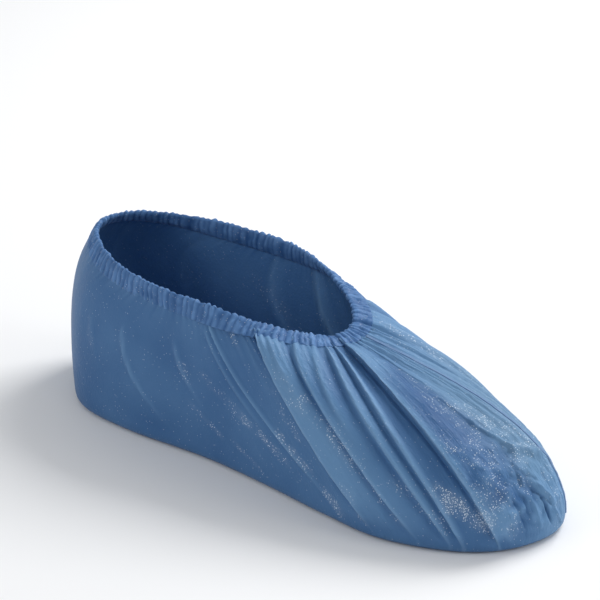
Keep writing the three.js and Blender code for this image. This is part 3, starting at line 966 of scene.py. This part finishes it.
print("crests", [round(c, 2) for c in CREST_HIGHLIGHT_COLOUR], "haze", [round(c, 2) for c in SHEEN_GREY])

# %% [markdown]
# ## Painted sparkles
# A pattern of tiny dimples is pressed into the film, and each dimple either catches a lamp or
# doesn't. Here the glints are painted into the colour. Small Voronoi cells stand for the dimples:
# each has a colour of its own, which works like a drawn lot, and more of them win where the film's
# shine is strong. A faint pale painted sheen lies over the crowded patches.

# %% Sparkles
SPARKLES_PER_METRE = 1350
PATCHES_PER_METRE = 110
LOT_TO_WIN = 0.98


def sparkle_share(tree, where):
    """How strongly each spot of the film is painted as a glint, from 0 to 1."""
    patch = clouds(tree, where, PATCHES_PER_METRE, 3)
    cells = add(tree, "ShaderNodeTexVoronoi",
                {"Vector": where, "Scale": SPARKLES_PER_METRE}, feature="F1")
    dot = span(tree, cells.outputs["Distance"], 0.42, 0.26)
    lot = add(tree, "ShaderNodeSeparateColor", {0: cells.outputs["Color"]}).outputs[0]
    crowd = times(tree, attribute(tree, "shine"), span(tree, patch, 0.4, 0.6, 0.15, 1.0))
    chance = sums(tree, "ADD", lot, times(tree, crowd, 0.7))
    chance = sums(tree, "SUBTRACT", chance, LOT_TO_WIN)
    spark = times(tree, dot, span(tree, chance, 0.0, 0.3, 0.25, 1.0))
    spark = times(tree, spark, span(tree, chance, 0.0, 0.01))
    # Painted sheen: a faint pale wash where the painted glints crowd
    return sums(tree, "MAXIMUM", spark, times(tree, crowd, 0.07))


print("sparkles lie about", round(1000 / SPARKLES_PER_METRE, 2), "mm apart")

# %% [markdown]
# ## Fine relief
# Three bumps lie over one another: the dimples, streaks that follow the flow of the film down
# from the hem, and soft wrinkles. All are finer than the mesh, so bump is enough for them. The
# streaks are strong only where the film hangs loose.

# %% Film bumps
DIMPLES_PER_METRE, WRINKLES_PER_METRE = 900, 190
STREAKS_PER_UNIT = 11           # of the flow attribute


def film_bumps(tree, where):
    dimples = add(tree, "ShaderNodeTexVoronoi",
                  {"Vector": where, "Scale": DIMPLES_PER_METRE}, feature="SMOOTH_F1")
    dimpled = bump(tree, dimples.outputs["Distance"], 0.4, 0.3 * MM)
    along = add(tree, "ShaderNodeAttribute", attribute_name="flow").outputs["Vector"]
    drawn = clouds(tree, along, STREAKS_PER_UNIT, 5, Roughness=0.6, Distortion=0.4)
    looseness = span(tree, attribute(tree, "loose"), 0, 1, 0.08, 0.55)
    streaked = bump(tree, drawn, looseness, 1.6 * MM, Normal=dimpled)
    wrinkles = clouds(tree, where, WRINKLES_PER_METRE, 4, Distortion=0.8)
    return bump(tree, wrinkles, 0.3, 0.9 * MM, Normal=streaked)


print("dimples lie about", round(1000 / DIMPLES_PER_METRE, 1), "mm apart")

# %% [markdown]
# ## Film finishes
# The three finishes share one recipe. Most of the light comes back from the skin of the film, and
# a small share comes through it, as a thin sheet lets it. The hem is like the bag but has fewer
# painted sparkles, and the melted welds are nearly plain, with paler colours that paint a
# highlight along their raised middle.

# %% Film finishes
THROUGH = 0.12                  # share of the light that comes through the film
CLOUDS_PER_METRE = 24
SHEEN_BLUE = (0.85, 0.93, 0.97, 1)


def film_finish(name, taut_and_shaded, free, glint_colour, sparkle=1.0):
    finish, tree = new_finish(name)
    where = add(tree, "ShaderNodeTexCoord").outputs["Object"]
    cloud = clouds(tree, where, CLOUDS_PER_METRE, 3)
    colour = film_colour(tree, cloud, taut_and_shaded, free)
    # Painted glints: the glint colour is mixed in where a sparkle wins
    colour = blend_colour(tree, times(tree, sparkle_share(tree, where), sparkle), colour, glint_colour)
    bumped = film_bumps(tree, where)
    skin = add(tree, "ShaderNodeBsdfPrincipled", {
        "Base Color": colour, "Roughness": span(tree, cloud, 0.3, 0.7, 0.42, 0.55),
        "Normal": bumped, "IOR": 1.5, "Specular IOR Level": 0.15, "Sheen Weight": 0.08,
        "Sheen Roughness": 0.4, "Sheen Tint": SHEEN_BLUE})
    glow = add(tree, "ShaderNodeBsdfTranslucent", {"Color": colour, "Normal": bumped})
    both = add(tree, "ShaderNodeMixShader",
               {"Fac": THROUGH, 1: skin.outputs[0], 2: glow.outputs[0]})
    add(tree, "ShaderNodeOutputMaterial", {"Surface": both.outputs[0]})
    return finish


# Colours: taut film and painted shade, free film and painted light, then the painted glints
film_blue = film_finish("embossed_blue_film", srgb(46, 90, 142), srgb(105, 147, 189),
                        srgb(220, 234, 247))
hem_blue = film_finish("gathered_blue_film", srgb(46, 88, 140), srgb(97, 138, 189),
                       srgb(235, 242, 250), 0.8)
# Painted highlight: paler colours for the light line along the weld's raised middle
weld_blue = film_finish("welded_blue_film", srgb(118, 150, 192), srgb(140, 168, 204),
                        srgb(235, 242, 250), 0.3)
for piece, finish in [(film, film_blue), (hem_piece, hem_blue),
                      *((weld_piece, weld_blue) for weld_piece in weld_pieces)]:
    piece.data.materials.append(finish)
    print(piece.name, "wears", finish.name)

# %% [markdown]
# ## Elastic finish
# The elastic hides in the hem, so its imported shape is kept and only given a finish: pale rubber
# thread under woven ribs, which a wave pattern draws.

# %% Elastic
RIBS_PER_METRE = 900

elastic_white, tree = new_finish("pale_elastic")
where = add(tree, "ShaderNodeTexCoord").outputs["Object"]
ribs = add(tree, "ShaderNodeTexWave",
           {"Vector": where, "Scale": RIBS_PER_METRE, "Distortion": 1.5},
           bands_direction="Z").outputs["Fac"]
colour = blend_colour(tree, ribs, srgb(205, 208, 210), srgb(235, 236, 238))
skin = add(tree, "ShaderNodeBsdfPrincipled", {
    "Base Color": colour, "Roughness": 0.7, "Normal": bump(tree, ribs, 0.4, 0.2 * MM)})
add(tree, "ShaderNodeOutputMaterial", {"Surface": skin.outputs[0]})
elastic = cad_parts["elastic_band"]
elastic.data.materials.clear()
elastic.data.materials.append(elastic_white)
print("elastic", len(elastic.data.polygons), "faces")

# %% [markdown]
# ## Floor
# The cover stands on a wide pale floor, which also sends light back up to it. It isn't a piece of
# the cover.

# %% Floor
FLOOR_REACH = 6
FLOOR_GREY = 0.86

bm = bmesh.new()
bmesh.ops.create_grid(bm, x_segments=1, y_segments=1, size=FLOOR_REACH)
floor_mesh = bpy.data.meshes.new("floor")
bm.to_mesh(floor_mesh)
bm.free()
floor = bpy.data.objects.new("floor", floor_mesh)
bpy.context.collection.objects.link(floor)
floor_mesh.materials.append(bpy.data.materials.new("pale_floor"))
floor_mesh.materials[0].use_nodes = True
floor_skin = floor_mesh.materials[0].node_tree.nodes["Principled BSDF"]
floor_skin.inputs["Base Color"].default_value = (FLOOR_GREY, FLOOR_GREY, FLOOR_GREY, 1)
floor_skin.inputs["Roughness"].default_value = 0.9
print("floor", 2 * FLOOR_REACH, "m wide")

# %% [markdown]
# ## Light
# A product picture like this is lit by large soft lamps. The strongest lamp hangs over the far
# side, so that the top is lighter than the near side, and a pale sky fills the shadows.

# %% Lamps
SKY_COLOUR, SKY_STRENGTH = (0.95, 0.97, 1, 1), 0.55
# name, place, aim, size in metres, power in watts
LAMPS = [
    ("far side", (0.15, 1.05, 1.1), (0.05, 0, 0), 0.8, 19),
    ("near side", (-0.7, -1.3, 0.9), (0, 0, 0.04), 1.0, 4.5),
    ("toe", (1.35, 0.45, 0.75), (0.1, 0, 0.03), 0.5, 3.2),
]

world = bpy.data.worlds.new("studio")
world.use_nodes = True
sky = world.node_tree.nodes["Background"]
sky.inputs["Color"].default_value = SKY_COLOUR
sky.inputs["Strength"].default_value = SKY_STRENGTH
bpy.context.scene.world = world
bpy.context.scene.view_settings.view_transform = "Standard"

for name, stands_at, aim, size, power in LAMPS:
    light = bpy.data.lights.new(name, "AREA")
    light.shape, light.size, light.energy = "SQUARE", size, power
    lamp = bpy.data.objects.new(name, light)
    lamp.location = stands_at
    lamp.rotation_euler = (Vector(aim) - Vector(stands_at)).to_track_quat("-Z", "Y").to_euler()
    bpy.context.collection.objects.link(lamp)
    print("lamp", name, power, "W")
